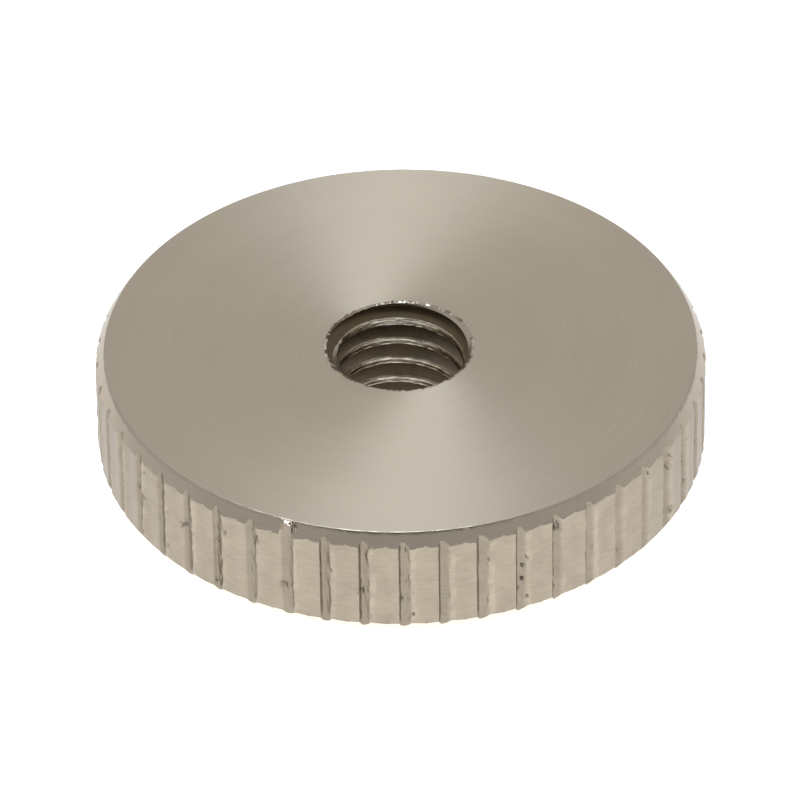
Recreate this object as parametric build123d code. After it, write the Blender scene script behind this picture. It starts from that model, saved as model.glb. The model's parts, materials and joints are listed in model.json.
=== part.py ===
from build123d import *
from build123d.topology import SkipClean
import os
from math import radians, sin, tan

# Flat thumb nut for finger tightening: one turned steel disc with a straight knurl
# on its rim and a tapped hole straight through it, without a collar.
# All sizes are in millimetres.
# Frame: the thread's axis is Z, the lower face lies on z = 0 and the origin is the
# centre of that face.  The thread's crest runs out of the upper face over +X, and
# one knurl groove is centred on -Y.

# --- driving dimensions -----------------------------------------------------------
outer_diameter = 20.0         # over the lands of the knurl
thickness = 4.0               # face to face
edge_chamfer_height = 0.45    # rim chamfer on both faces, along the axis
edge_chamfer_width = 0.28     # the same chamfer, towards the axis

thread_diameter = 5.0         # M5, major diameter of the internal thread
thread_pitch = 0.8            # M5 coarse
thread_angle = 60.0           # between the two flanks
countersink_width = 0.35      # beyond the minor radius, on both faces
countersink_angle = 90.0      # of the whole cone

groove_count = 49             # straight knurl grooves round the rim
groove_depth = 0.18           # below the lands
groove_angle = 90.0           # between the groove's two walls
groove_floor_radius = 0.10

cutter_overrun = 1.0          # how far a cutting tool passes what it cuts

# --- sizes that follow from them --------------------------------------------------
outer_radius = outer_diameter / 2
thread_height = thread_pitch / (2 * tan(radians(thread_angle / 2)))   # sharp triangle
thread_depth = thread_height * 5 / 8
major_radius = thread_diameter / 2
minor_radius = major_radius - thread_depth
countersink_depth = countersink_width / tan(radians(countersink_angle / 2))


def blank_disc():
    """The turned blank: a disc with a chamfer on both edges of its rim."""
    face_radius = outer_radius - edge_chamfer_width
    section = Plane.XZ * Polygon(
        (0, 0),
        (face_radius, 0),
        (outer_radius, edge_chamfer_height),
        (outer_radius, thickness - edge_chamfer_height),
        (face_radius, thickness),
        (0, thickness),
        align=None,
    )
    return revolve(section, Axis.Z)


def knurl_cutters():
    """One straight V-shaped cutter with a round tip for each groove of the knurl."""
    half_angle = radians(groove_angle / 2)
    tip_sharpening = groove_floor_radius * (1 / sin(half_angle) - 1)
    tip_radius = outer_radius - groove_depth - tip_sharpening
    back_radius = outer_radius + cutter_overrun
    back_half_width = (back_radius - tip_radius) * tan(half_angle)
    section = Polygon(
        (tip_radius, 0),
        (back_radius, -back_half_width),
        (back_radius, back_half_width),
        align=None,
    )
    tip = section.vertices().sort_by(Axis.X)[0]
    section = fillet(tip, groove_floor_radius)
    cutter = Pos(0, 0, -cutter_overrun) * extrude(section, thickness + 2 * cutter_overrun)
    return [
        Rot(0, 0, -90 + 360 * groove / groove_count) * cutter
        for groove in range(groove_count)
    ]


def bore_cutter():
    """The tapping hole at the thread's minor radius."""
    length = thickness + 2 * cutter_overrun
    return Pos(0, 0, thickness / 2) * Cylinder(minor_radius, length)


def countersink_cutters():
    """A cone into each mouth of the thread."""
    slope = tan(radians(countersink_angle / 2))
    mouth_radius = minor_radius + countersink_width
    outside_radius = mouth_radius + cutter_overrun * slope
    inside_radius = minor_radius - cutter_overrun * slope
    cone = Cone(
        inside_radius,
        outside_radius,
        countersink_depth + 2 * cutter_overrun,
        align=(Align.CENTER, Align.CENTER, Align.MIN),
    )
    upper = Pos(0, 0, thickness - countersink_depth - cutter_overrun) * cone
    lower = Pos(0, 0, countersink_depth + cutter_overrun) * Rot(180, 0, 0) * cone
    return [upper, lower]


def thread_cutter():
    """The helical ridge that cuts the internal thread, one turn longer at each end."""
    flank = tan(radians(thread_angle / 2))
    root_half_width = thread_pitch / 16
    inner_radius = minor_radius - thread_height / 8
    inner_half_width = root_half_width + (major_radius - inner_radius) * flank
    turns_inside = thickness / thread_pitch
    turns = int(turns_inside) + 3
    start = thickness - thread_pitch / 2 - (turns - 1) * thread_pitch
    path = Pos(0, 0, start) * Helix(thread_pitch, turns * thread_pitch, major_radius)
    section = Plane.XZ * Polygon(
        (inner_radius, start - inner_half_width),
        (major_radius, start - root_half_width),
        (major_radius, start + root_half_width),
        (inner_radius, start + inner_half_width),
        align=None,
    )
    return sweep(section, path, is_frenet=True)


def divided_in_quarters(solid):
    """The same single solid, with its faces divided along the X and Y axes.

    The crest of the thread is then a row of quarter turns, each short enough to be
    measured as a piece of round wall.
    """
    reach = outer_radius + cutter_overrun
    corner = Box(reach, reach, thickness + 2 * cutter_overrun, align=(Align.MIN,) * 3)
    corner = Pos(0, 0, -cutter_overrun) * corner
    quarters = [solid & Rot(0, 0, angle) * corner for angle in (0, 90, 180, 270)]
    return quarters[0] + quarters[1:]


def thumb_nut():
    """The finished nut.  The thread is cut before the hole that leaves its crest."""
    nut = blank_disc() - knurl_cutters()
    with SkipClean():
        nut = nut - thread_cutter() - bore_cutter() - countersink_cutters()
        return divided_in_quarters(nut)


os.makedirs("parts", exist_ok=True)
export_step(thumb_nut(), "parts/thumb_nut.step")
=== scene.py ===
import bmesh
import bpy
import json
import math
import random
from mathutils import Matrix, Vector, noise


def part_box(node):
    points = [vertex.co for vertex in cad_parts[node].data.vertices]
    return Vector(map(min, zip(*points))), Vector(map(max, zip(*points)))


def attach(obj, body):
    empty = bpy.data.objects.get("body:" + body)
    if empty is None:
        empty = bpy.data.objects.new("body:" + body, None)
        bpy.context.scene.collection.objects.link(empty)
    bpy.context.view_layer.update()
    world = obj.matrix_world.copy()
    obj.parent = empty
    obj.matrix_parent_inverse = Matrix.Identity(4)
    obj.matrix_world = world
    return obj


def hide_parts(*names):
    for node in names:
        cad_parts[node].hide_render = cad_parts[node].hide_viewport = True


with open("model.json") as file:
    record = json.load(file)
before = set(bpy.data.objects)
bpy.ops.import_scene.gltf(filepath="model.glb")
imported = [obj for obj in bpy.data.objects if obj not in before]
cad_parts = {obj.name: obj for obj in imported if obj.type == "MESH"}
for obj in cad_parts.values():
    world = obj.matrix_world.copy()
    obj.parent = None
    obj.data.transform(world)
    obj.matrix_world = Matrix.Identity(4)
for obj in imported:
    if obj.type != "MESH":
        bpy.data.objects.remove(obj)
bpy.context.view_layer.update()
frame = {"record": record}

# The nut is modelled in millimetres and brought to metres at the very end.
metre = 0.001
nutLow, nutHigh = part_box("thumb_nut")
outerRadius = (nutHigh.x - nutLow.x) / 2 / metre
faceHeight = (nutHigh.z - nutLow.z) / metre
threadMount = [m for m in frame["record"]["mounts"] if m["name"] == "thread"][0]
crestRadius = threadMount["dims"]["r_mm"]
mouthDepth = (faceHeight - threadMount["dims"]["length_mm"]) / 2   # 45 degree countersink

nutRim = {                     # lengths in mm here and below
    "grooves": 49,
    "columns": 28,             # mesh columns from one land's middle to the next
    "crowding": 0.55,          # how much they crowd into the groove, 0 to 1
    "grooveDepth": 0.136,
    "grooveHalfWidth": 0.19,
    "grooveOffset": -0.045,    # the groove proper lies to one side of its burred lip
    "floorLevel": 0.78,        # of the full depth, at the middle of the floor
    "floorSlope": 0.34,        # the floor climbs towards the burr
    "burrWallPower": 2.2,      # the higher, the steeper the wall
    "cleanWallPower": 3.2,
    "burrHeight": 0.034,       # metal pushed up on the side where the wheel ran out
    "burrWidth": 0.17,
    "lipHeight": 0.009,        # and the low clean lip on the other side
    "lipWidth": 0.07,
    "highestBurr": 0.04,
    "landStart": 0.08,         # beyond the groove's edge
    "landHollow": 0.014,       # the land's middle, left low by the knurling wheel
    "landSeam": 0.022,         # and its small notch where the land meets the chamfer
    "seamLength": 0.12,
    "chamferHeight": 0.45,
    "chamferWidth": 0.28,
    "chamferRows": 5,
    "wallRows": 36,
    "edgeProfile": [(0.036, 0.0), (0.02, 0.0036), (0.009, 0.0065), (0.001, 0.015)],
    "edgeRounding": 0.03,      # how far below the face the chamfer proper begins
    "burrWander": 0.055,       # the burred wall runs to and fro, the clean one hardly
    "cleanWander": 0.014,
    "wanderReach": 0.62,       # of half a pitch, outside the groove
    "floorRough": 0.011,
    "deepPitDepth": 0.09,
    "pitsPerGroove": 2.2,
    "deepPits": [              # groove, across, height and size of the worst of them
        (46, -0.22, 1.5, 0.10), (41, 0.08, 2.2, 0.15), (43, -0.29, 2.3, 0.07), (48, -0.18, 1.75, 0.08),
        (45, 0.1, 3.1, 0.13), (4, -0.02, 3.25, 0.13), (8, 0.18, 1.0, 0.12), (8, 0.1, 2.85, 0.10),
    ],
    "chamferBurr": (46, -0.1, 0.28),   # groove, across and reach of the burr over the chamfer
    "chamferBurrSlope": 0.36,
    "chamferBurrProud": 0.012,
    "faceRings": (9.37, 8.0, 6.0, 4.5),   # mesh rings on the flat faces
    "seed": 7,
}

nutHub = {
    "radius": 3.0,             # the hub is the ring round the hole that takes the thread
    "overcut": 0.25,           # how far the blank's cone goes on past the thread's crest
    "spokesPerGroove": 4,      # mesh lines on the flat faces
    "threadMajorRadius": 2.5,
    "threadPitch": 0.8,
    "crestWidth": 0.23,
    "rootWidth": 0.1,
    "stepsPerTurn": 128,
    "crestFold": 0.035,        # the tap leaves a fold along the crest, between two ridges
    "crestTear": 0.022,
    "tearReach": 0.12,         # how deep behind the crest the tearing goes
    "tearsPerMm": 5.0,
    "burrSteps": 480,
    "burrProfile": ((-0.075, -0.028), (0.0, 0.0), (0.05, -0.03)),   # inwards and up
    "burrHeight": 0.05,
}

halfPitch = math.pi * outerRadius / nutRim["grooves"]
firstGroove = -math.pi / 2
faceEdgeRadius = outerRadius - nutRim["chamferWidth"]


def acrossLand(share):
    # share runs from -1 to 1 over one groove and its two half lands
    crowd = nutRim["crowding"]
    return halfPitch * ((1 - crowd) * share + crowd * share ** 3)


def grooveCharacter():
    # every groove is a little different: its place, depth, width, wander and pits
    dice = random.Random(nutRim["seed"])
    grooves = []
    for number in range(nutRim["grooves"]):
        pits = []
        while dice.random() < nutRim["pitsPerGroove"] / (1 + nutRim["pitsPerGroove"]):
            pits.append({
                "across": dice.uniform(-0.2, 0.3),
                "height": dice.uniform(0.5, faceHeight - 0.5),
                "size": dice.uniform(0.035, 0.08),
                "length": dice.uniform(0.6, 1.3),
                "depth": dice.uniform(0.03, 0.09),
            })
        grooves.append({
            "shift": dice.gauss(0, 0.018),
            "depth": dice.uniform(0.88, 0.98),
            "width": dice.uniform(0.92, 1.12),
            "lip": dice.uniform(0.3, 1.5),
            "noise": Vector((dice.uniform(-50, 50), dice.uniform(-50, 50), 0)),
            "pits": pits,
        })
    return grooves


grooves = grooveCharacter()


def bump(x):
    # a smooth hump of height 1 at 0 that has gone at -1 and 1
    return (1 - x * x) ** 2 if abs(x) < 1 else 0.0


def wander(groove, side, height):
    amount = nutRim["burrWander"] if side > 0 else nutRim["cleanWander"]
    place = groove["noise"] + Vector((side * 7.3, height * 1.3, 0.0))
    fine = groove["noise"] + Vector((side * 3.1, height * 4.5, 4.0))
    return amount * (0.6 * noise.noise(place) + 0.8 * noise.noise(fine))


def lipRise(groove, beyond, side, height):
    # how high the metal stands beside the groove, beyond its edge
    if side > 0:
        rise, width = nutRim["burrHeight"], nutRim["burrWidth"]
    else:
        rise, width = nutRim["lipHeight"], nutRim["lipWidth"]
    ragged = noise.noise(groove["noise"] + Vector((side * 2.0, height * 2.2, 9.0)))
    ragged += 0.8 * noise.noise(groove["noise"] + Vector((beyond * 9.0, height * 5.0, 12.0)))
    crown = bump((beyond - width * 0.35) / width) if beyond > -0.3 * width else 0.0
    return rise * groove["lip"] * max(0.0, 0.65 + 1.1 * ragged) * crown


def rimPoint(number, share, height):
    # returns how far round from the groove's centre line, the radius there and the depth
    groove = grooves[number]
    across = acrossLand(share)
    inGroove = across - nutRim["grooveOffset"]
    halfWidth = nutRim["grooveHalfWidth"] * groove["width"]
    side = 1 if inGroove > 0 else -1
    fromWall = abs(inGroove) - halfWidth
    nearWall = bump(fromWall / (halfWidth if fromWall < 0 else halfPitch * nutRim["wanderReach"]))
    shift = groove["shift"] * bump(share * 0.999) + wander(groove, side, height) * nearWall
    reach = abs(inGroove) / halfWidth
    depth = 0.0
    if reach < 1.0:
        floor = nutRim["floorLevel"] - nutRim["floorSlope"] * inGroove / halfWidth
        power = nutRim["burrWallPower"] if side > 0 else nutRim["cleanWallPower"]
        depth = nutRim["grooveDepth"] * groove["depth"] * floor * (1 - reach ** power)
    depth -= lipRise(groove, fromWall, side, height)
    start = nutRim["landStart"]
    landShare = max(0.0, (fromWall - start) / (halfPitch - halfWidth - start))
    depth += nutRim["landHollow"] * min(1.0, landShare) ** 2
    toEnd = min(height, faceHeight - height) - nutRim["chamferHeight"]
    if abs(share) > 0.99:
        depth += nutRim["landSeam"] * math.exp(-max(0.0, toEnd) / nutRim["seamLength"])
    rough = noise.noise(groove["noise"] + Vector((across * 9.0, height * 3.0, 2.0)))
    rough += 0.6 * noise.noise(groove["noise"] + Vector((across * 14.0, height * 5.0, 6.0)))
    inBurr = side > 0 and abs(inGroove) < halfWidth + nutRim["burrWidth"]
    depth += nutRim["floorRough"] * rough * (1.0 if reach < 0.9 else 0.6 if inBurr else 0.15)
    for pit in groove["pits"]:
        away = math.hypot(across - pit["across"], (height - pit["height"]) * pit["length"])
        depth += pit["depth"] * bump(away / pit["size"] / 1.3)
    for where, pitAcross, pitHeight, size in nutRim["deepPits"]:
        if where == number:
            away = math.hypot(across - pitAcross, (height - pitHeight) * 1.2) / size
            ragged = 0.7 + 0.6 * noise.noise(Vector((across, height, 0)) * 14)
            depth += nutRim["deepPitDepth"] * bump(away * ragged / 1.2)
    return across + shift, outerRadius - max(-nutRim["highestBurr"], depth), depth


def chamferRadius(height):
    toFace = min(height, faceHeight - height)
    return faceEdgeRadius + nutRim["chamferWidth"] * toFace / nutRim["chamferHeight"]


def chamferMeets(number, share, upper):
    # the height at which this column of the rim runs into the chamfer
    height = nutRim["chamferHeight"]
    for step in range(3):
        tried = faceHeight - height if upper else height
        radius = rimPoint(number, share, tried)[1]
        height = nutRim["chamferHeight"] * (radius - faceEdgeRadius) / nutRim["chamferWidth"]
        height = min(max(height, 0.06), nutRim["chamferHeight"] * 1.08)
    return height


def rimRows():
    # one entry for each row, from the lower face's edge to the upper face's edge:
    # which part it belongs to, and how far along that part it is
    edge = [("edge", step) for step in range(len(nutRim["edgeProfile"]))]
    chamfer = [("chamfer", row / nutRim["chamferRows"]) for row in range(nutRim["chamferRows"] + 1)]
    lower = [("lower" + part, share) for part, share in edge + chamfer]
    upper = [("upper" + part, share) for part, share in reversed(edge + chamfer)]
    wall = [("wall", (row + 1) / (nutRim["wallRows"] + 1)) for row in range(nutRim["wallRows"])]
    return lower + wall + upper


def chamferBurrLift(number, share, along, radius, height):
    # one groove's torn burr stands over the chamfer as a ragged ledge, level with the face
    where, burrAcross, reach = nutRim["chamferBurr"]
    if number != where:
        return 0.0
    near = bump((acrossLand(share) - burrAcross) / reach)
    torn = noise.noise(Vector((acrossLand(share) * 13, height * 9, 5)))
    lift = min(1.0, max(0.0, 3.0 * (near * 1.5 + torn * 1.3 - along * 0.4 - 0.35)))
    slope = nutRim["chamferBurrSlope"] * (radius - faceEdgeRadius)
    ledge = faceHeight + nutRim["chamferBurrProud"] - slope
    return (ledge - height) * lift


def placeRimVert(vert, number, share, meetsLower, meetsUpper, row):
    # puts one vertex of a row in its place and returns the groove's depth there
    part, along = row
    high = part.startswith("upper")
    meets = meetsUpper if high else meetsLower
    if part == "wall":
        height = meetsLower + (faceHeight - meetsUpper - meetsLower) * along
        across, radius, depth = rimPoint(number, share, height)
    elif part.endswith("edge"):
        inset, toFace = nutRim["edgeProfile"][along]
        turn = 2 * math.pi * number / nutRim["grooves"] + acrossLand(share) / outerRadius
        place = Vector((math.cos(turn), math.sin(turn), 0.0)) * 22.0
        toFace *= 1 + 0.9 * noise.noise(place)
        radius = faceEdgeRadius - inset
        height = faceHeight - toFace if high else toFace
        across, ignored, depth = rimPoint(number, share, height)
        depth = 0.0
    else:
        toFace = nutRim["edgeRounding"] + (meets - nutRim["edgeRounding"]) * along
        height = faceHeight - toFace if high else toFace
        radius = chamferRadius(height)
        across, ignored, depth = rimPoint(number, share, height)
        depth = depth if along > 0.99 else 0.0
        if high:
            height += chamferBurrLift(number, share, along, radius, height)
    angle = firstGroove + 2 * math.pi * number / nutRim["grooves"] + across / outerRadius
    vert.co = (radius * math.cos(angle), radius * math.sin(angle), height)
    return depth


def makeRim():
    bm = bmesh.new()
    acrossLayer = bm.verts.layers.float.new("across")
    depthLayer = bm.verts.layers.float.new("grooveDepth")
    previous = None
    columns = nutRim["columns"]
    for column in range(columns + 1):
        share = column / columns * 2 - 1
        angle = firstGroove + acrossLand(share) / outerRadius
        vert = bm.verts.new((outerRadius * math.cos(angle), outerRadius * math.sin(angle), 0))
        vert[acrossLayer] = share
        if previous:
            bm.edges.new((previous, vert))
        previous = vert
    count = nutRim["grooves"]
    bmesh.ops.spin(bm, geom=bm.verts[:] + bm.edges[:], cent=(0, 0, 0), axis=(0, 0, 1),
                   angle=2 * math.pi * (count - 1) / count, steps=count - 1,
                   use_duplicate=True, use_merge=False)
    bmesh.ops.remove_doubles(bm, verts=bm.verts[:], dist=halfPitch / columns / 20)

    def grooveOf(vert):
        angle = math.atan2(vert.co.y, vert.co.x) - firstGroove
        angle -= acrossLand(vert[acrossLayer]) / outerRadius
        return round(angle / (2 * math.pi) * count) % count

    # every column keeps its groove's number and meets the two chamfers at its own height
    numberLayer = bm.verts.layers.int.new("groove")
    lowerLayer = bm.verts.layers.float.new("meetsLower")
    upperLayer = bm.verts.layers.float.new("meetsUpper")
    for vert in bm.verts:
        vert[numberLayer] = grooveOf(vert)
        vert[lowerLayer] = chamferMeets(vert[numberLayer], vert[acrossLayer], False)
        vert[upperLayer] = chamferMeets(vert[numberLayer], vert[acrossLayer], True)
    loopEdges = bm.edges[:]
    rows = rimRows()
    for index, row in enumerate(rows):
        if index:
            made = bmesh.ops.extrude_edge_only(bm, edges=loopEdges)["geom"]
            loopVerts = [g for g in made if isinstance(g, bmesh.types.BMVert)]
            loopEdges = edgesWithin(made)
        else:
            loopVerts = bm.verts[:]
        for vert in loopVerts:
            vert[depthLayer] = placeRimVert(vert, vert[numberLayer], vert[acrossLayer],
                                            vert[lowerLayer], vert[upperLayer], row)
    print("rim:", len(bm.verts), "vertices")
    return bm


def edgesWithin(geometry):
    inside = {g for g in geometry if isinstance(g, bmesh.types.BMVert)}
    return [g for g in geometry if isinstance(g, bmesh.types.BMEdge)
            and g.verts[0] in inside and g.verts[1] in inside]


def threadProfile():
    # one pitch of the tapped wall, from the middle of one crest to the middle of the next
    pitch = nutHub["threadPitch"]
    crest = nutHub["crestWidth"] / 2
    root = nutHub["rootWidth"] / 2
    major = nutHub["threadMajorRadius"]
    fold = nutHub["crestFold"]
    half = [
        (crestRadius + fold, 0.0),
        (crestRadius + fold * 0.6, crest * 0.3),
        (crestRadius + fold * 0.1, crest * 0.6),
        (crestRadius, crest * 0.8),
        (crestRadius + 0.012, crest * 1.02),
    ]
    flankStart, flankEnd = crest, pitch / 2 - root
    for share in (0.12, 0.35, 0.6, 0.85, 0.97):
        half.append((crestRadius + (major - crestRadius) * share,
                     flankStart + (flankEnd - flankStart) * share))
    half.append((major, pitch / 2 - root * 0.5))
    return half + [(radius, pitch - height) for radius, height in reversed(half)]


def makeTap():
    # the solid that is left when the hole is cast: a threaded plug
    pitch, steps = nutHub["threadPitch"], nutHub["stepsPerTurn"]
    turns = int(faceHeight / pitch) + 3
    start = faceHeight - (int(faceHeight / pitch) + 2) * pitch
    bm = bmesh.new()
    previous = None
    for radius, height in threadProfile():
        vert = bm.verts.new((radius, 0, start + height))
        if previous:
            bm.edges.new((previous, vert))
        previous = vert
    bmesh.ops.spin(bm, geom=bm.verts[:] + bm.edges[:], cent=(0, 0, 0), axis=(0, 0, 1),
                   dvec=(0, 0, pitch / steps), angle=2 * math.pi * turns,
                   steps=steps * turns, use_duplicate=False, use_merge=False)
    bmesh.ops.remove_doubles(bm, verts=bm.verts[:], dist=0.0005)
    bm.verts.ensure_lookup_table()
    rim = [e for e in bm.edges if e.is_boundary]
    low = [e for e in rim if (e.verts[0].co.z + e.verts[1].co.z) / 2 < faceHeight / 2]
    high = [e for e in rim if (e.verts[0].co.z + e.verts[1].co.z) / 2 > faceHeight / 2]
    for edges, end in ((low, -3 * pitch), (high, faceHeight + 3.5 * pitch)):
        made = bmesh.ops.extrude_edge_only(bm, edges=edges)["geom"]
        ends = [g for g in made if isinstance(g, bmesh.types.BMVert)]
        bmesh.ops.pointmerge(bm, verts=ends, merge_co=(0, 0, end))
    # torn crests and a slightly uneven cut
    for vert in bm.verts:
        radius = math.hypot(vert.co.x, vert.co.y)
        if radius < crestRadius * 0.9:
            continue
        nearCrest = 1 - min(1.0, (radius - crestRadius) / nutHub["tearReach"])
        place = vert.co * nutHub["tearsPerMm"]
        tear = noise.noise(place) + 0.7 * noise.noise(place * 2.7)
        amount = nutHub["crestTear"] * (0.25 + nearCrest) * tear
        vert.co.x *= 1 + amount / radius
        vert.co.y *= 1 + amount / radius
    bmesh.ops.recalc_face_normals(bm, faces=bm.faces[:])
    return bm


def makeHubBlank():
    # a disc with a cone sunk into the middle of both faces, for the tap to pass through
    mouth = crestRadius + mouthDepth
    inner = crestRadius - nutHub["overcut"]
    sunk = mouthDepth + nutHub["overcut"]
    radius = nutHub["radius"]
    profile = [(0, sunk), (inner, sunk), (mouth, 0), (mouth + 0.05, 0), (radius, 0)]
    profile += [(r, faceHeight - h) for r, h in reversed(profile)]
    bm = bmesh.new()
    previous = None
    for r, h in profile:
        vert = bm.verts.new((r, 0, h))
        if previous:
            bm.edges.new((previous, vert))
        previous = vert
    spokes = nutRim["grooves"] * nutHub["spokesPerGroove"]
    start = firstGroove + math.pi / spokes
    bmesh.ops.rotate(bm, verts=bm.verts[:], cent=(0, 0, 0), matrix=Matrix.Rotation(start, 3, "Z"))
    bmesh.ops.spin(bm, geom=bm.verts[:] + bm.edges[:], cent=(0, 0, 0), axis=(0, 0, 1),
                   angle=2 * math.pi, steps=spokes, use_duplicate=False, use_merge=True)
    bmesh.ops.remove_doubles(bm, verts=bm.verts[:], dist=0.0005)
    bmesh.ops.recalc_face_normals(bm, faces=bm.faces[:])
    return bm


def objectFrom(bm, name):
    mesh = bpy.data.meshes.new(name)
    bm.to_mesh(mesh)
    bm.free()
    made = bpy.data.objects.new(name, mesh)
    bpy.context.scene.collection.objects.link(made)
    return made


def makeHub():
    blank = objectFrom(makeHubBlank(), "hubBlank")
    tap = objectFrom(makeTap(), "tap")
    cut = blank.modifiers.new("tapping", "BOOLEAN")
    cut.operation = "DIFFERENCE"
    cut.solver = "EXACT"
    cut.object = tap
    graph = bpy.context.evaluated_depsgraph_get()
    tapped = bpy.data.meshes.new_from_object(blank.evaluated_get(graph))
    bm = bmesh.new()
    bm.from_mesh(tapped)
    bpy.data.objects.remove(blank)
    bpy.data.objects.remove(tap)
    bmesh.ops.remove_doubles(bm, verts=bm.verts[:], dist=0.0002)
    # its outer wall goes, because the rim is joined on there
    reach = nutHub["radius"] - 0.001
    wall = [f for f in bm.faces if all(math.hypot(v.co.x, v.co.y) > reach for v in f.verts)]
    bmesh.ops.delete(bm, geom=wall, context="FACES")
    print("hub:", len(bm.verts), "vertices, thread cut")
    return bm


faceSlot, chamferSlot, paintedFloorLightChamferSlot, knurlSlot, crestSlot, flankSlot = range(6)


def addFaces(bm):
    # the two flat faces run in from the rim as rings; on the first ring the rim's many
    # columns come together into a few spokes for each groove
    shareLayer = bm.verts.layers.float["across"]
    numberLayer = bm.verts.layers.int["groove"]
    spokes = nutHub["spokesPerGroove"]
    for height in (0.0, faceHeight):
        edges = [e for e in bm.edges if e.is_boundary and abs(e.verts[0].co.z - height) < 0.01]
        for radius in (*nutRim["faceRings"], nutHub["radius"]):
            made = bmesh.ops.extrude_edge_only(bm, edges=edges)["geom"]
            edges = edgesWithin(made)
            for vert in (g for g in made if isinstance(g, bmesh.types.BMVert)):
                spoke = min(spokes - 1, int((vert[shareLayer] + 1) / 2 * spokes + 0.001))
                angle = firstGroove + 2 * math.pi / nutRim["grooves"] * (
                    vert[numberLayer] - 0.5 + (spoke + 0.5) / spokes)
                vert.co = (radius * math.cos(angle), radius * math.sin(angle), height)
    bmesh.ops.remove_doubles(bm, verts=bm.verts[:], dist=0.002)


def zoneOf(face):
    middle = face.calc_center_median()
    radius = math.hypot(middle.x, middle.y)
    toFace = min(middle.z, faceHeight - middle.z)
    if radius < nutHub["threadMajorRadius"] + 0.08 and abs(face.normal.z) < 0.999:
        if middle.z > faceHeight - 0.02:
            return crestSlot
        onCone = abs(radius + toFace - crestRadius - mouthDepth) < 0.05 and toFace < mouthDepth
        if onCone and (toFace < 0.07 or 0.69 < abs(face.normal.z) < 0.72):
            return chamferSlot
        return crestSlot if radius < crestRadius + nutHub["crestFold"] + 0.03 else flankSlot
    if toFace < 0.0015:
        return faceSlot
    beyondChamfer = radius - chamferRadius(middle.z)
    if beyondChamfer > 0.02 and toFace < 0.14 and abs(face.normal.z) > 0.7:
        return crestSlot       # the bright torn burr that stands over the chamfer
    onChamfer = beyondChamfer <= 0.004 and toFace < nutRim["chamferHeight"] * 1.1
    if onChamfer and abs(face.normal.z) > 0.3:
        # the lower chamfer takes the far lighter copy, with the floor's light painted in
        return chamferSlot if middle.z > faceHeight / 2 else paintedFloorLightChamferSlot
    return knurlSlot


def mouthRadius(angle):
    # where the thread's groove runs out through the face, the mouth bulges a little
    away = abs(math.remainder(angle - math.pi, 2 * math.pi))
    below = nutHub["threadPitch"] * away / (2 * math.pi) - nutHub["rootWidth"] / 2
    flank = nutHub["threadPitch"] / 2 - nutHub["crestWidth"] / 2 - nutHub["rootWidth"] / 2
    share = max(0.0, below) / flank
    groove = nutHub["threadMajorRadius"] - (nutHub["threadMajorRadius"] - crestRadius) * share
    return max(crestRadius + mouthDepth, groove)


def makeMouthBurr():
    # a ragged thread of torn metal round the hole's upper edge, sunk in the face elsewhere
    bm = bmesh.new()
    ring = [bm.verts.new((1 + inward, 0, drop)) for inward, drop in nutHub["burrProfile"]]
    edges = [bm.edges.new((ring[i], ring[(i + 1) % 3])) for i in range(3)]
    bmesh.ops.spin(bm, geom=ring + edges, cent=(0, 0, 0), axis=(0, 0, 1), angle=2 * math.pi,
                   steps=nutHub["burrSteps"], use_duplicate=False, use_merge=True)
    for vert in bm.verts:
        angle = math.atan2(vert.co.y, vert.co.x)
        inward = math.hypot(vert.co.x, vert.co.y) - 1
        place = Vector((math.cos(angle), math.sin(angle), 0))
        torn = noise.noise(place * 6.0) + 0.8 * noise.noise(place * 17.0 + Vector((3, 0, 0)))
        onCrown = abs(inward) < 0.01
        rise = nutHub["burrHeight"] * max(-0.3, torn * 1.6) if onCrown else 0.0
        radius = mouthRadius(angle) + inward + 0.03 * noise.noise(place * 14.0)
        vert.co = (radius * place.x, radius * place.y, faceHeight + vert.co.z + rise)
    return bm


def joinIn(bm, other):
    mesh = bpy.data.meshes.new("joined")
    other.to_mesh(mesh)
    other.free()
    bm.from_mesh(mesh)
    bpy.data.meshes.remove(mesh)


def makeNut():
    bm = makeRim()
    addFaces(bm)
    joinIn(bm, makeHub())
    bmesh.ops.remove_doubles(bm, verts=bm.verts[:], dist=0.0004)
    joinIn(bm, makeMouthBurr())
    bmesh.ops.recalc_face_normals(bm, faces=bm.faces[:])
    bm.normal_update()
    for face in bm.faces:
        face.material_index = zoneOf(face)
        face.smooth = True
    flat = {f for f in bm.faces if abs(f.normal.z) > 0.99995}
    for edge in bm.edges:
        if len(edge.link_faces) != 2:
            continue
        onePlane = (edge.link_faces[0] in flat) != (edge.link_faces[1] in flat)
        edge.smooth = not (onePlane or edge.calc_face_angle(0) > math.radians(28))
    openEdges = sum(1 for e in bm.edges if not e.is_manifold)
    bmesh.ops.scale(bm, vec=(metre, metre, metre), verts=bm.verts[:])
    made = objectFrom(bm, "thumbNut")
    print("nut:", len(made.data.polygons), "faces,", openEdges, "open edges")
    return made


def colour(hexCode):
    # an sRGB hex value as linear red, green, blue and alpha
    parts = [int(hexCode[i:i + 2], 16) / 255 for i in (1, 3, 5)]
    linear = [c / 12.92 if c <= 0.04045 else ((c + 0.055) / 1.055) ** 2.4 for c in parts]
    return (*linear, 1.0)


def node(tree, kind, settings=None, **links):
    # adds a node with its settings, and links other nodes' outputs to its inputs
    made = tree.nodes.new(kind)
    for name, value in (settings or {}).items():
        if isinstance(name, int) or name in made.inputs:
            made.inputs[name].default_value = value
        else:
            setattr(made, name, value)
    for name, source in links.items():
        numbered = name.startswith("in") and name[2:].isdigit()   # in0 is the first input
        key = int(name[2:]) if numbered else name.replace("_", " ")
        tree.links.new(source, made.inputs[key])
    return made


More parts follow.
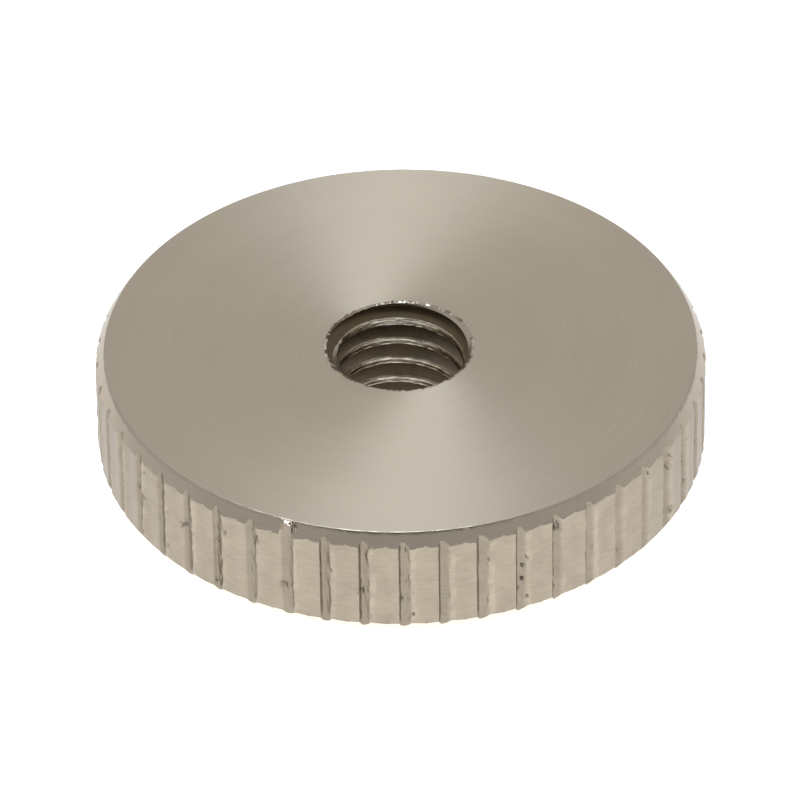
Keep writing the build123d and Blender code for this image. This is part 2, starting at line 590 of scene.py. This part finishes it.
def shaded(tree, look, plain, parts):
    # the colour, times a painted shade that follows the depth in a knurled groove, the height in the
    # hole or the distance to its side: a list of where, in mm, and which shade
    if "shades" not in look:
        return plain
    if look["shadedBy"] == "grooveDepth":
        source = node(tree, "ShaderNodeAttribute", {"attribute_name": "grooveDepth"}).outputs["Fac"]
    elif look["shadedBy"] == "height":
        source = parts.outputs[2]
    else:
        toSide = node(tree, "ShaderNodeMath", {"operation": "ABSOLUTE"}, in0=parts.outputs[0])
        source = toSide.outputs[0]
    low, high = look["shades"][0][0], look["shades"][-1][0]
    along = node(tree, "ShaderNodeMapRange", {"From Min": low, "From Max": high}, Value=source)
    # the ramp of painted shade (and painted highlight on the knurl's lips)
    paintedShadeRamp = node(tree, "ShaderNodeValToRGB", None, Fac=along.outputs[0])
    stops = paintedShadeRamp.color_ramp.elements
    stops.remove(stops[1])
    for index, (where, shade) in enumerate(look["shades"]):
        position = (where - low) / (high - low)
        stop = stops[0] if index == 0 else stops.new(position)
        stop.position = position
        stop.color = colour(shade)
    base = node(tree, "ShaderNodeMix", {"data_type": "RGBA", "blend_type": "MULTIPLY"})
    base.inputs[0].default_value = 1.0
    tree.links.new(plain, base.inputs[6])
    tree.links.new(paintedShadeRamp.outputs[0], base.inputs[7])
    return base.outputs[2]


def stainless(name, look):
    # bare turned stainless steel: a satin grey metal with a warm cast, whose fine tool
    # marks run round the axis and stretch every reflection across them
    material = bpy.data.materials.new(name)
    material.use_nodes = True
    tree = material.node_tree
    tree.nodes.clear()
    shader = node(tree, "ShaderNodeBsdfPrincipled", {
        "Metallic": 1.0, "Anisotropic": look["anisotropy"], "Roughness": look["roughness"]})
    output = node(tree, "ShaderNodeOutputMaterial")
    tree.links.new(shader.outputs[0], output.inputs[0])
    place = node(tree, "ShaderNodeTexCoord").outputs["Object"]
    inMm = node(tree, "ShaderNodeVectorMath", {"operation": "SCALE", "Scale": 1 / metre}, in0=place)
    parts = node(tree, "ShaderNodeSeparateXYZ", None, in0=inMm.outputs[0])
    flat = node(tree, "ShaderNodeCombineXYZ", None, X=parts.outputs[0], Y=parts.outputs[1])
    radius = node(tree, "ShaderNodeVectorMath", {"operation": "LENGTH"}, in0=flat.outputs[0])
    outward = node(tree, "ShaderNodeVectorMath", {"operation": "NORMALIZE"}, in0=flat.outputs[0])
    around = node(tree, "ShaderNodeVectorMath", {"operation": "CROSS_PRODUCT", 0: (0, 0, 1)})
    tree.links.new(outward.outputs[0], around.inputs[1])

    if look["lay"] == "face":
        # the marks spiral slowly outwards, so the stretch is turned a little near the hole
        slope = node(tree, "ShaderNodeMath", {"operation": "DIVIDE", 0: -look["feed"] / (2 * math.pi)})
        tree.links.new(radius.outputs["Value"], slope.inputs[1])
        turned = node(tree, "ShaderNodeVectorMath", {"operation": "SCALE"}, in0=around.outputs[0])
        tree.links.new(slope.outputs[0], turned.inputs["Scale"])
        stretch = node(tree, "ShaderNodeVectorMath", {"operation": "ADD"},
                       in0=outward.outputs[0], in1=turned.outputs[0])
        tree.links.new(stretch.outputs[0], shader.inputs["Tangent"])
        across = radius.outputs["Value"]
    else:
        # on the rim the marks run round too, and the stretch is up and down
        up = node(tree, "ShaderNodeCombineXYZ", {"Z": 1.0})
        tree.links.new(up.outputs[0], shader.inputs["Tangent"])
        across = parts.outputs[2]

    # tool marks: lines of constant radius or height, broken up along their length
    alongMarks = node(tree, "ShaderNodeVectorMath", {"operation": "SCALE", "Scale": look["markLength"]},
                       in0=outward.outputs[0])
    marksAt = node(tree, "ShaderNodeMath", {"operation": "MULTIPLY", 1: look["marksPerMm"]})
    tree.links.new(across, marksAt.inputs[0])
    marksOffset = node(tree, "ShaderNodeCombineXYZ", None, Z=marksAt.outputs[0])
    markPlace = node(tree, "ShaderNodeVectorMath", {"operation": "ADD"},
                     in0=alongMarks.outputs[0], in1=marksOffset.outputs[0])
    marks = node(tree, "ShaderNodeTexNoise", {"Scale": 1.0, "Detail": 4.0, "Roughness": 0.65},
                 Vector=markPlace.outputs[0])
    clouds = node(tree, "ShaderNodeTexNoise", {"Scale": look["cloudScale"], "Detail": 3.0},
                  Vector=inMm.outputs[0])
    if look["lay"] == "face":
        # the faces are faintly banded where the tool's feed changed
        bands = node(tree, "ShaderNodeMath", {"operation": "MULTIPLY", 1: look["bandsPerMm"]},
                     in0=radius.outputs["Value"])
        bandPlace = node(tree, "ShaderNodeCombineXYZ", {"X": 4.3}, Z=bands.outputs[0])
        rings = node(tree, "ShaderNodeTexNoise", {"Scale": 1.0, "Detail": 2.0},
                     Vector=bandPlace.outputs[0])
        both = node(tree, "ShaderNodeMath", {"operation": "ADD"},
                    in0=clouds.outputs["Fac"], in1=rings.outputs["Fac"])
        clouds = node(tree, "ShaderNodeMath", {"operation": "MULTIPLY", 1: 0.5}, in0=both.outputs[0])

    # colour: two close greys of the same steel, mixed by the marks and by slow clouds
    blend = node(tree, "ShaderNodeMath", {"operation": "MULTIPLY_ADD", 1: 0.5},
                 in0=marks.outputs["Fac"])
    half = node(tree, "ShaderNodeMath", {"operation": "MULTIPLY", 1: 0.5}, in0=clouds.outputs[0])
    tree.links.new(half.outputs[0], blend.inputs[2])
    ramp = node(tree, "ShaderNodeValToRGB", None, Fac=blend.outputs[0])
    ramp.color_ramp.elements[0].position = 0.3
    ramp.color_ramp.elements[0].color = colour(look["dark"])
    ramp.color_ramp.elements[1].position = 0.7
    ramp.color_ramp.elements[1].color = colour(look["light"])
    base = shaded(tree, look, ramp.outputs[0], parts)
    tree.links.new(base, shader.inputs["Base Color"])

    rough = node(tree, "ShaderNodeMapRange", {
        "From Min": 0.3, "From Max": 0.7,
        "To Min": look["roughness"] - look["roughnessSpread"],
        "To Max": look["roughness"] + look["roughnessSpread"]}, Value=blend.outputs[0])
    tree.links.new(rough.outputs[0], shader.inputs["Roughness"])
    relief = node(tree, "ShaderNodeBump", {"Strength": look["bumpStrength"],
                                           "Distance": look["bumpHeight"] * metre},
                  Height=marks.outputs["Fac"])
    tree.links.new(relief.outputs[0], shader.inputs["Normal"])
    return material


# turned flat with a fine feed: round marks that fan the light out to the front and back
faceLook = {
    "lay": "face",
    "feed": 10.0,              # how far the marks spiral outwards, in mm a turn
    "dark": "#bbb09f", "light": "#c8bdab",
    "roughness": 0.50, "roughnessSpread": 0.025, "anisotropy": 0.86,
    "marksPerMm": 14.0,        # the tool's own feed was about 0.07 mm a turn
    "markLength": 3.0, "cloudScale": 0.35, "bandsPerMm": 0.7,
    "bumpStrength": 0.15, "bumpHeight": 0.004,
}

# turned with a sharp tool: smoother than the faces, so it mirrors the dim side of the room
chamferLook = {
    "lay": "rim",
    "dark": "#a89d8e", "light": "#afa495",
    "roughness": 0.27, "roughnessSpread": 0.015, "anisotropy": 0.5,
    "marksPerMm": 12.0, "markLength": 5.0, "cloudScale": 0.8,
    "bumpStrength": 0.03, "bumpHeight": 0.002,
}
# the lower chamfer: a far lighter copy of the chamfer's colour, a painted reflection of the floor's
# light
paintedFloorLightChamferLook = {**chamferLook, "dark": "#d8cfbf", "light": "#e0d7c7"}

# rolled and cut: satin lands with marks 0.08 mm apart; groove floors darkened with painted shade,
# burred lips lightened with painted highlight
knurlLook = {
    "lay": "rim",
    "dark": "#9d9182", "light": "#bdb1a0",
    "shadedBy": "grooveDepth",
    # by groove depth: painted highlight on the lips, painted shade deeper in the grooves
    "shades": [(-0.02, "#f3f3f3"), (-0.005, "#e8e8e8"), (0.02, "#e3e3e3"), (0.06, "#d5d5d5"),
               (0.2, "#d2d2d2")],
    "roughness": 0.42, "roughnessSpread": 0.06, "anisotropy": 0.4,
    "marksPerMm": 12.0, "markLength": 22.0, "cloudScale": 1.2,
    "bumpStrength": 0.35, "bumpHeight": 0.006,
}

# torn by the tap: bright broken streaks, with painted shade that darkens them towards the hole's two
# sides
crestLook = {
    "lay": "rim",
    "dark": "#93887a", "light": "#f0e8d8",
    "shadedBy": "side",
    "shades": [(0.7, "#ffffff"), (1.3, "#d6cfc4"), (2.0, "#9a8f80"), (2.25, "#9a8f80"),
               (2.4, "#ffffff")],
    "roughness": 0.32, "roughnessSpread": 0.10, "anisotropy": 0.3,
    "marksPerMm": 8.0, "markLength": 8.0, "cloudScale": 2.5,
    "bumpStrength": 0.5, "bumpHeight": 0.012,
}

# tapped: a warm dull steel, with painted shade that darkens it upwards, darkest just under the mouth
flankLook = {
    "lay": "rim",
    "dark": "#978b7b", "light": "#b3a796",
    "shadedBy": "height", "shades": [(2.3, "#ffffff"), (2.8, "#e6e1d9"), (3.4, "#9e9484")],
    "roughness": 0.55, "roughnessSpread": 0.06, "anisotropy": 0.0,
    "marksPerMm": 6.0, "markLength": 6.0, "cloudScale": 2.0,
    "bumpStrength": 0.3, "bumpHeight": 0.010,
}

nut = makeNut()
nut.data.materials.append(stainless("stainlessFaced", faceLook))
nut.data.materials.append(stainless("stainlessChamfered", chamferLook))
nut.data.materials.append(stainless("stainlessChamferedBright", paintedFloorLightChamferLook))
nut.data.materials.append(stainless("stainlessKnurled", knurlLook))
nut.data.materials.append(stainless("stainlessTappedCrest", crestLook))
nut.data.materials.append(stainless("stainlessTappedFlankOily", flankLook))
print("materials:", len(nut.data.materials), "finishes of one steel")
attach(nut, "root")
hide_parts("thumb_nut")


studio = {
    "floorSize": 1.2,
    "floorDrop": 0.00002,      # keeps the floor from flickering through the nut's lower face
    "floorGlow": 1.55,
    "floorGlowBehind": 1.1,
    "glowFrom": -0.012,        # in metres, front to back, where the glow fades
    "glowTo": 0.004,
    "floorColour": "#6a6a68",
    "backWall": 0.74,
    "frontWall": 0.64,
    "gap": 0.14,               # a dark gap in the room, high at the front
    "gapRise": 66,             # degrees above the floor
    "gapEdge": (0.80, 0.95),   # cosines of the angles over which it fades in
    "softboxLight": 4.9,
    "softboxSide": -0.041,
    "softboxWidth": 0.22,
    "softboxLength": 0.23,
    "softboxColour": (0.80, 0.88, 0.97),   # daylight, cooler than the room
    "softboxRise": 77,         # degrees above the floor, at the back
    "softboxDistance": 0.55,
}

view = {
    "elevation": 38.11,
    "turn": -0.4,              # degrees to the left of straight on
    "roll": -0.865,
    "distance": 0.2754,
    "lens": 376.1,
    "aimHeight": 0.00174,
    "aimSide": -0.00004,
}


def makeFloor():
    # lit opal acrylic: an even pale glow with no grain, a little dimmer at the back
    bm = bmesh.new()
    bmesh.ops.create_grid(bm, x_segments=4, y_segments=4, size=studio["floorSize"] / 2,
                          matrix=Matrix.Translation((0, 0, -studio["floorDrop"])))
    floor = objectFrom(bm, "floor")
    material = bpy.data.materials.new("lightTable")
    material.use_nodes = True
    shader = material.node_tree.nodes["Principled BSDF"]
    shader.inputs["Base Color"].default_value = colour(studio["floorColour"])
    shader.inputs["Roughness"].default_value = 0.6
    shader.inputs["Emission Color"].default_value = (1, 1, 1, 1)
    tree = material.node_tree
    place = node(tree, "ShaderNodeTexCoord").outputs["Object"]
    parts = node(tree, "ShaderNodeSeparateXYZ", None, in0=place)
    glow = node(tree, "ShaderNodeMapRange", {
        "interpolation_type": "SMOOTHSTEP",
        "From Min": studio["glowFrom"], "From Max": studio["glowTo"],
        "To Min": studio["floorGlow"], "To Max": studio["floorGlowBehind"]}, Value=parts.outputs[1])
    tree.links.new(glow.outputs[0], shader.inputs["Emission Strength"])
    floor.data.materials.append(material)
    return floor


def makeWorld():
    # a plain pale room with a dark gap above and behind the camera
    world = bpy.data.worlds.new("studio")
    bpy.context.scene.world = world
    world.use_nodes = True
    tree = world.node_tree
    tree.nodes.clear()
    direction = node(tree, "ShaderNodeTexCoord").outputs["Generated"]
    parts = node(tree, "ShaderNodeSeparateXYZ", None, in0=direction)
    walls = node(tree, "ShaderNodeMapRange", {
        "interpolation_type": "SMOOTHSTEP", "From Min": -0.6, "From Max": 0.3,
        "To Min": studio["frontWall"], "To Max": studio["backWall"]}, Value=parts.outputs[1])
    rise = math.radians(studio["gapRise"])
    towards = node(tree, "ShaderNodeVectorMath", {
        "operation": "DOT_PRODUCT", 1: (0, -math.cos(rise), math.sin(rise))}, in0=direction)
    gap = node(tree, "ShaderNodeMapRange", {
        "interpolation_type": "SMOOTHSTEP",
        "From Min": studio["gapEdge"][0], "From Max": studio["gapEdge"][1],
        "To Min": 1.0, "To Max": studio["gap"] / studio["frontWall"]},
        Value=towards.outputs["Value"])
    level = node(tree, "ShaderNodeMath", {"operation": "MULTIPLY"},
                 in0=walls.outputs[0], in1=gap.outputs[0])
    back = node(tree, "ShaderNodeBackground", {"Color": (1, 1, 1, 1)})
    tree.links.new(level.outputs[0], back.inputs["Strength"])
    output = node(tree, "ShaderNodeOutputWorld")
    tree.links.new(back.outputs[0], output.inputs[0])


def makeSoftbox():
    # one soft daylight almost overhead
    light = bpy.data.lights.new("softbox", "AREA")
    light.shape = "RECTANGLE"
    light.size = studio["softboxWidth"]
    light.size_y = studio["softboxLength"]
    light.energy = studio["softboxLight"] * math.pi * light.size * light.size_y
    light.color = studio["softboxColour"]
    lamp = bpy.data.objects.new("softbox", light)
    rise = math.radians(studio["softboxRise"])
    lamp.location = Vector((0, math.cos(rise), math.sin(rise))) * studio["softboxDistance"]
    lamp.location.x = studio["softboxSide"]
    lamp.rotation_euler = (rise - math.pi / 2, 0, 0)
    bpy.context.scene.collection.objects.link(lamp)


def makeCamera():
    data = bpy.data.cameras.new("camera")
    data.lens = view["lens"]
    data.sensor_width = 36.0
    data.clip_start = 0.01
    data.clip_end = 10.0
    camera = bpy.data.objects.new("camera", data)
    rise, turn = math.radians(view["elevation"]), math.radians(view["turn"])
    back = Vector((math.sin(turn) * math.cos(rise), -math.cos(turn) * math.cos(rise), math.sin(rise)))
    facing = (-back).to_track_quat("-Z", "Y")
    rolled = facing @ Matrix.Rotation(math.radians(view["roll"]), 3, "Z").to_quaternion()
    aim = Vector((view["aimSide"], 0, view["aimHeight"]))
    camera.rotation_mode = "QUATERNION"
    camera.rotation_quaternion = rolled
    camera.location = aim + back * view["distance"]
    bpy.context.scene.collection.objects.link(camera)
    bpy.context.scene.camera = camera


makeFloor()
makeWorld()
makeSoftbox()
makeCamera()
bpy.context.scene.view_settings.view_transform = "Standard"
print("studio ready")
